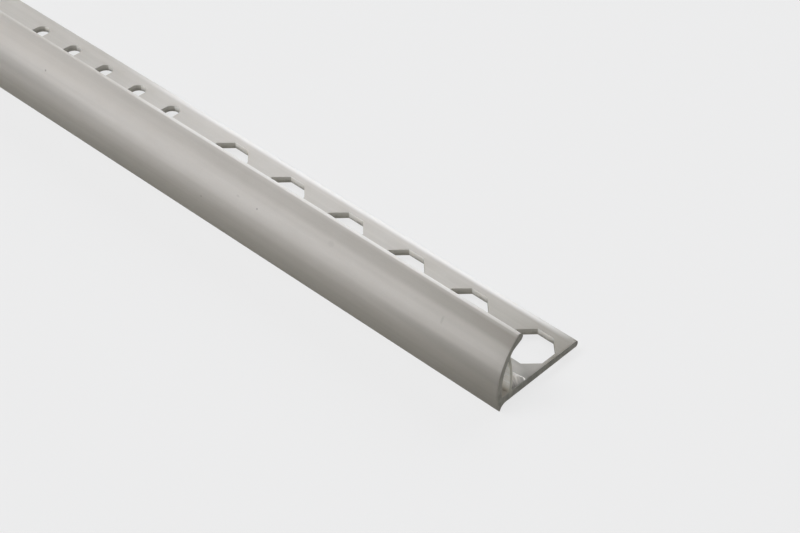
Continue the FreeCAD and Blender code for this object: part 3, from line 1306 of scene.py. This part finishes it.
@dataclass(frozen=True)
class SawnPvc(PvcFinish):
    """A sawn end.

    Attributes:
        tooth_pitch: distance between the saw's marks.
        saw_stretch: how the marks are drawn out up the cut.
        saw_turn: turn of the noise that they follow, in radians about X.
        mark_range: values of the marks between which they turn pale.
        mark_tone: the tone of the darkest and the palest mark.
        matt_range: values of the grain between which the cut turns from satin to matt.
        grain_height: share of the relief that the grain has, beside the saw's marks.
        painted_light_at_ends: painted highlights on the cut, at the web's and the face wall's sawn edges.
    """

    name: str = "pvc_sawn"
    colour: Colour = (0.478, 0.463, 0.437)
    deep: Colour = (0.304, 0.294, 0.275)
    roughness: Range = (0.55, 0.75)
    relief: float = 0.00002
    translucence: float = 0.0002
    tooth_pitch: float = 0.00018
    saw_stretch: Point = (0.0, 1.0, 0.05)
    saw_turn: float = math.radians(24.0)
    mark_range: Range = (0.35, 0.65)
    mark_tone: Range = (0.4, 1.0)
    matt_range: Range = (0.2, 0.8)
    grain_height: float = 0.4
    painted_light_at_ends: tuple[SkinPatch, ...] = SAWN_HIGHLIGHTS

    def dress(self, skin: Skin) -> Dressing:
        """Lay upright saw marks over a matt, slightly mottled cut, with painted highlights at the web's and
        the face wall's edges.

        Args:
            skin: the material's sketch.

        Returns:
            The cut's colour, roughness and height.
        """
        clouds = skin.effect(skin.effects.clouding, Cloud_Size=0.0012, Grain_Size=0.0001)
        across = skin.stretch(skin.place, self.saw_stretch, self.saw_turn)
        marks = skin.grain(across, 1.0 / self.tooth_pitch, detail=3.0, roughness=0.6)
        tone = skin.product(skin.remap(marks, self.mark_range, self.mark_tone), clouds["Clouds"])
        colour = self.toned(skin, tone)
        # painted highlights on the sawn edges of the web and the face wall
        for patch in self.painted_light_at_ends:
            colour = patch.apply_to(skin, colour)
        roughness = skin.remap(clouds["Grain"], self.matt_range, self.roughness)
        height = skin.math("MULTIPLY_ADD", clouds["Grain"], self.grain_height, marks)
        return Dressing(colour, roughness, height)


@dataclass(frozen=True)
class CellPvc(PvcFinish):
    """The inside of the narrow cell, paler than the skin as painted light, with pale sawdust and more painted
    light near its mouth and painted shade at its foot.

    Attributes:
        dust_and_light: colour of the sawdust and the painted light, linear.
        dust_reach: how far the sawdust was blown in, and how far the painted light reaches.
        dust_rise: Z where the sawdust and painted light begin, and where they are strongest.
        smudges: values of the clouds between which the smudges of sawdust and painted light lie.
        foot: colour of the painted shade at the cell's foot, linear.
        foot_rise: Z between which the foot's painted shade thins out.
        grain_height: share of the relief that the grain has, beside the die's bands.
        lean: how far the wall's grain turns it to the mouth, as a slope.
    """

    name: str = "pvc_cell"
    # far paler than the drawn skin: painted light for the light that comes into the cell through its thin
    # walls
    colour: Colour = (0.9, 0.83, 0.715)
    deep: Colour = (0.83, 0.76, 0.65)
    roughness: Range = (0.5, 0.8)
    relief: float = 0.00001
    translucence: float = 0.004
    dust_and_light: Colour = (1.0, 0.945, 0.85)
    dust_reach: float = 0.008
    dust_rise: Range = (0.0034, 0.0044)
    smudges: Range = (0.4, 0.6)
    foot: Colour = (0.37, 0.345, 0.3)
    foot_rise: Range = (0.0022, 0.0044)
    grain_height: float = 0.5
    lean: float = 1.0

    def dress(self, skin: Skin) -> Dressing:
        """Lay die lines under smudges of sawdust and painted light that thin out inwards and downwards to
        painted shade at the foot.

        Args:
            skin: the material's sketch.

        Returns:
            The cell's colour, roughness and height.
        """
        lines = skin.effect(skin.effects.die_lines)
        clouds = skin.effect(skin.effects.clouding, Cloud_Size=0.0014, Grain_Size=0.0001)
        x, _, z = skin.axes(skin.place)
        dust_and_light_mask = skin.product(skin.remap(z, self.dust_rise), skin.painted_light_at_ends(self.dust_reach),
                             skin.remap(clouds["Clouds"], self.smudges))
        colour = skin.blend(dust_and_light_mask, self.toned(skin, lines["Bands"]), self.dust_and_light)
        colour = skin.blend(skin.remap(z, self.foot_rise), self.foot, colour)
        height = skin.math("MULTIPLY_ADD", clouds["Grain"], self.grain_height, lines["Bands"])
        height = self.tilted(skin, height, skin.math("ABSOLUTE", x), self.lean)
        return Dressing(colour, skin.remap(dust_and_light_mask, WHOLE, self.roughness), height)


@dataclass(frozen=True)
class TornPvc(PvcFinish):
    """Torn PVC, whitened where it was stretched, with painted highlight along its rims and painted shade
    towards its root.

    The free edge lies where (distance behind the end + free_slope * Y) is greatest, and the side edge on
    the leg where (Y + side_slope * distance behind the end) is.

    Attributes:
        fibre_range: values of the fibres between which they turn pale.
        fibre_share: share of the tone that comes from them.
        free_rim: the values between which the free edge's rim pales, whitened and with painted highlight.
        side_rim: the values between which the side edge's rim pales, whitened and with painted highlight.
        root_fade: how far below the free edge's rim the flap's painted shade is darkest.
        web_side: Y between which the flap darkens away from the web.
        far_tone: share of the tone that is left there.
        matt_range: values of the grain between which it turns from satin to matt.
        lean: how far its folds turn it upwards, as a slope.
    """

    name: str = "pvc_torn"
    colour: Colour = (0.98, 0.92, 0.83)
    # dark: painted shade in the corner at the flap's root
    deep: Colour = (0.165, 0.153, 0.132)
    roughness: Range = (0.5, 0.8)
    relief: float = 0.00002
    bleach_and_highlight: Colour = (1.0, 0.965, 0.895)
    fibre_width: float = 0.0004
    fibre_stretch: Point = (0.2, 1.0, 0.12)
    fibre_range: Range = (0.42, 0.58)
    fibre_share: float = 0.35
    free_slope: float = 0.3
    free_rim: Range = (-0.0005, -0.0003)
    side_slope: float = -0.362
    side_rim: Range = (-0.00342, -0.00322)
    root_fade: float = 0.00125
    web_side: Range = (-0.0041, -0.0036)
    far_tone: float = 0.3
    matt_range: Range = (0.2, 0.8)
    lean: float = 1.3

    def dress(self, skin: Skin) -> Dressing:
        """Lay fibres over painted shade at the root, with a rim that is whitened and carries painted
        highlight.

        Args:
            skin: the material's sketch.

        Returns:
            The flap's colour, roughness and height.
        """
        clouds = skin.effect(skin.effects.clouding, Cloud_Size=0.0006, Grain_Size=0.00008)
        fibres = skin.grain(skin.stretch(skin.place, self.fibre_stretch), 1.0 / self.fibre_width)
        x, y, z = skin.axes(skin.place)
        behind = skin.math("SUBTRACT", END_X, x)
        towards_free = skin.math("MULTIPLY_ADD", y, self.free_slope, behind)
        towards_side = skin.math("MULTIPLY_ADD", behind, self.side_slope, y)
        darkest = self.free_rim[0] - self.root_fade
        streaks = skin.math("MULTIPLY_ADD", skin.remap(fibres, self.fibre_range), self.fibre_share,
                            1.0 - self.fibre_share)
        tone = skin.product(streaks, skin.remap(towards_free, (darkest, self.free_rim[0])),
                            skin.remap(y, self.web_side, (1.0, self.far_tone)))
        rim = skin.math("MAXIMUM", skin.remap(towards_free, self.free_rim),
                        skin.remap(towards_side, self.side_rim))
        colour = skin.blend(rim, self.toned(skin, tone), self.bleach_and_highlight)
        roughness = skin.remap(clouds["Grain"], self.matt_range, self.roughness)
        height = skin.math("ADD", fibres, clouds["Grain"])
        return Dressing(colour, roughness, self.tilted(skin, height, z, self.lean))


FINISHES: dict[Surface, PvcFinish] = {
    Surface.DRAWN: DrawnPvc(),
    Surface.PUNCHED: PunchedPvc(),
    # a darker copy of the punched finish: painted shade on the hole walls that turn away from Y
    Surface.SHADED_WALL: PunchedPvc(name="pvc_shaded_wall", colour=(0.58, 0.56, 0.52), deep=(0.48, 0.465, 0.43),
                                roughness=(0.5, 0.75), end_shade=0.42, translucence=0.0, break_to=0.0019,
                                draft=0.0),
    Surface.SAWN: SawnPvc(),
    Surface.CELL: CellPvc(),
    Surface.TORN: TornPvc(),
}


@dataclass(frozen=True)
class Lamp:
    """A soft rectangular lamp.

    Attributes:
        at: its middle.
        towards: the point that it faces.
        size: its length and height.
        power: its power in watts.
        tint: its colour, linear.
        only_gloss: whether it shows in gloss alone, as a narrow strip light does.
    """

    name: str
    at: Point
    towards: Point
    size: tuple[float, float]
    power: float
    tint: Colour = (1.0, 1.0, 1.0)
    only_gloss: bool = False

    def hang(self) -> None:
        """Hang the lamp, unseen by the camera itself."""
        data = bpy.data.lights.new(self.name, "AREA")
        data.shape = "RECTANGLE"
        data.size, data.size_y = self.size
        data.energy = self.power
        data.color = self.tint
        lamp = bpy.data.objects.new(self.name, data)
        lamp.location = self.at
        lamp.rotation_euler = facing_along(Vector(self.towards) - Vector(self.at))
        lamp.visible_camera = False
        lamp.visible_diffuse = not self.only_gloss
        bpy.context.scene.collection.objects.link(lamp)
        log.info("%s: %.1f W", self.name, self.power)


@dataclass
class Studio:
    """Pale floor, soft lamps and the camera.

    Attributes:
        backdrop: brightness of the floor and the backdrop as the eye sees them.
        shadow_share: part of that brightness which comes from the lamps and so can be shaded.
        bounce: colour of the floor for the light that it throws back.
        ambient: brightness of the world for the object.
        floor_size: half the floor's width.
        lens: the camera's focal length in millimetres.
        sensor: the camera's sensor width in millimetres.
        nearest: how near to the camera things are still seen.
    """

    backdrop: float = 0.8388
    shadow_share: float = 0.09
    bounce: Colour = (0.232, 0.222, 0.163)
    floor_roughness: float = 0.9
    ambient: float = 0.02
    floor_size: float = 12.0
    lamps: tuple[Lamp, ...] = (
        Lamp("window", (-0.2, -1.1, 2.55), (0.85, 0.0, 0.0), (1.2, 1.2), 44.0, (1.012, 1.0, 1.03)),
        Lamp("top_lamp", (0.8, 0.15, 2.2), (0.8, 0.0, 0.0), (1.8, 1.0), 9.6, (0.96, 1.0, 1.065)),
        Lamp("back_lamp", (0.6, 1.6, 1.2), (0.8, 0.0, 0.0), (1.8, 1.0), 20.6, (0.96, 1.0, 1.065)),
        Lamp("end_lamp", (1.9, -0.5, 0.8), (0.9, 0.0, 0.0), (0.8, 0.8), 5.0),
        Lamp("sheen_strip", (0.15, -1.2, 0.07), (0.8, 0.0, 0.01), (0.6, 0.12), 25.0, (1.015, 1.0, 1.01),
             only_gloss=True),
    )
    lens: float = 93.41
    sensor: float = 36.0
    nearest: float = 0.01
    eye: Point = (1.05829, -0.18315, 0.22728)
    gaze: Point = (-0.51562, 0.54647, -0.65993)

    def lay_floor(self) -> None:
        bm = bmesh.new()
        bmesh.ops.create_grid(bm, x_segments=1, y_segments=1, size=self.floor_size)
        floor = make_object("studio_floor", bm)
        material = bpy.data.materials.new("studio_floor")
        material.use_nodes = True
        sketch = NodeSketch(material.node_tree)
        shader = material.node_tree.nodes["Principled BSDF"].inputs
        shader["Roughness"].default_value = self.floor_roughness
        shader["Specular IOR Level"].default_value = 0.0
        seen = self.seen_rays(sketch)
        sketch.feed(shader["Base Color"], sketch.blend(seen, self.bounce, grey(self.shadow_share)))
        glow = grey(self.backdrop - self.shadow_share)
        sketch.feed(shader["Emission Color"], sketch.blend(seen, BLACK, glow))
        shader["Emission Strength"].default_value = 1.0
        floor.data.materials.append(material)
        log.info("%s: %.0f m wide", floor.name, 2 * self.floor_size)

    @staticmethod
    def seen_rays(sketch: NodeSketch) -> Socket:
        """Make a mask of the rays from the eye: straight, mirrored or through glass.

        Args:
            sketch: the tree that takes it.

        Returns:
            The mask, 1 for such a ray.
        """
        path = sketch.add("LightPath").outputs
        mirrored = sketch.math("MAXIMUM", path["Is Camera Ray"], path["Is Glossy Ray"])
        return sketch.math("MAXIMUM", mirrored, path["Is Transmission Ray"])

    def light_world(self) -> None:
        """Give the world a soft grey light, and a pale backdrop for the eye."""
        world = bpy.data.worlds.new("studio_world")
        bpy.context.scene.world = world
        world.use_nodes = True
        sketch = NodeSketch(world.node_tree)
        background = world.node_tree.nodes["Background"].inputs
        level = sketch.blend(self.seen_rays(sketch), grey(self.ambient), grey(self.backdrop))
        sketch.feed(background["Color"], level)
        background["Strength"].default_value = 1.0

    def set_camera(self) -> None:
        """Set the camera at the photograph's place and angle."""
        data = bpy.data.cameras.new("photo_camera")
        data.sensor_width = self.sensor
        data.lens = self.lens
        data.clip_start = self.nearest
        camera = bpy.data.objects.new("photo_camera", data)
        camera.location = self.eye
        camera.rotation_euler = facing_along(Vector(self.gaze))
        bpy.context.scene.collection.objects.link(camera)
        bpy.context.scene.camera = camera

    def build(self) -> None:
        """Set up the floor, world, lamps and camera."""
        self.lay_floor()
        self.light_world()
        for lamp in self.lamps:
            lamp.hang()
        self.set_camera()
        bpy.context.scene.view_settings.view_transform = "Standard"


def facing_along(direction: Vector) -> Euler:
    """Return the turn with which a lamp or a camera looks along a direction."""
    return direction.to_track_quat("-Z", "Y").to_euler()


def grey(level: float) -> Colour:
    """Return a grey."""
    return (level, level, level)


def main() -> None:
    """Build the strip and the studio, and report each piece."""
    logging.basicConfig(level=logging.INFO, format="%(name)s: %(message)s")
    effects = Effects()
    materials = {surface: finish.build(effects) for surface, finish in FINISHES.items()}
    section = TrimSection()
    trim = EdgeTrim(section).build()
    for surface in (Surface.DRAWN, Surface.PUNCHED, Surface.SHADED_WALL, Surface.SAWN, Surface.CELL):
        trim.data.materials.append(materials[surface])
    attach(trim, "root")
    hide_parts("edge_trim")
    flap = TornFlap(section).build()
    flap.data.materials.append(materials[Surface.TORN])
    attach(flap, "root")
    Studio().build()


if __name__ == "__main__":
    main()
